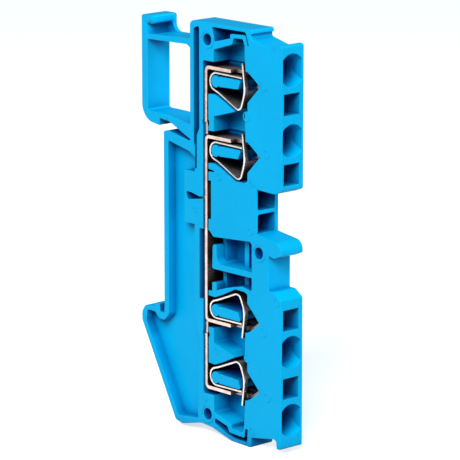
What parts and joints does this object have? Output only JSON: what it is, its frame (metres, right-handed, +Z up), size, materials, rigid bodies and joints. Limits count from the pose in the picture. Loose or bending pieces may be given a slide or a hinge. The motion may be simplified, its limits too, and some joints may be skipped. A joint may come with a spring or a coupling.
{
  "type": "din rail terminal block",
  "caption": "Slim spring-clamp terminal block that clips onto a 35 mm rail, with its open side showing the copper bar and cage springs.",
  "frame": {"origin": "on the rail's outer face, at the middle of the rail's width and of the block's thickness", "axes": "+X along the rail from the open side to the closed side, -Y towards the wire-entry face, +Z up the length of the block"},
  "size_m": [0.0064, 0.0362, 0.0738],
  "materials": {
    "blue_polyamide": "smooth injection-moulded polyamide, satin gloss",
    "tinned_copper": "stamped copper strip, bright cut edges",
    "spring_steel": "rolled spring steel strip, polished edges"
  },
  "bodies": {
    "block": {"housing": "blue_polyamide", "main_bar": "tinned_copper", "upper_limb": "tinned_copper", "lower_limb": "tinned_copper", "spring_loop_1": "spring_steel", "spring_loop_2": "spring_steel", "spring_loop_3": "spring_steel", "spring_loop_4": "spring_steel"},
    "latch": {"rail_latch": "blue_polyamide"},
    "leg_1": {"clamp_leg_1": "spring_steel"},
    "leg_2": {"clamp_leg_2": "spring_steel"},
    "leg_3": {"clamp_leg_3": "spring_steel"},
    "leg_4": {"clamp_leg_4": "spring_steel"}
  },
  "joints": [
    {"name": "latch_lift", "type": "slide", "parent": "block", "child": "latch", "axis": [0, 0, 1], "range_m": [0, 0.0012], "stiffness_N_per_m": 5000},
    {"name": "clamp_1", "type": "slide", "parent": "block", "child": "leg_1", "axis": [0, 0, 1], "range_m": [0, 0.0024], "stiffness_N_per_m": 6000},
    {"name": "clamp_2", "type": "slide", "parent": "block", "child": "leg_2", "axis": [0, 0, 1], "range_m": [0, 0.0024], "stiffness_N_per_m": 6000},
    {"name": "clamp_3", "type": "slide", "parent": "block", "child": "leg_3", "axis": [0, 0, -1], "range_m": [0, 0.0024], "stiffness_N_per_m": 6000},
    {"name": "clamp_4", "type": "slide", "parent": "block", "child": "leg_4", "axis": [0, 0, -1], "range_m": [0, 0.0024], "stiffness_N_per_m": 6000}
  ]
}
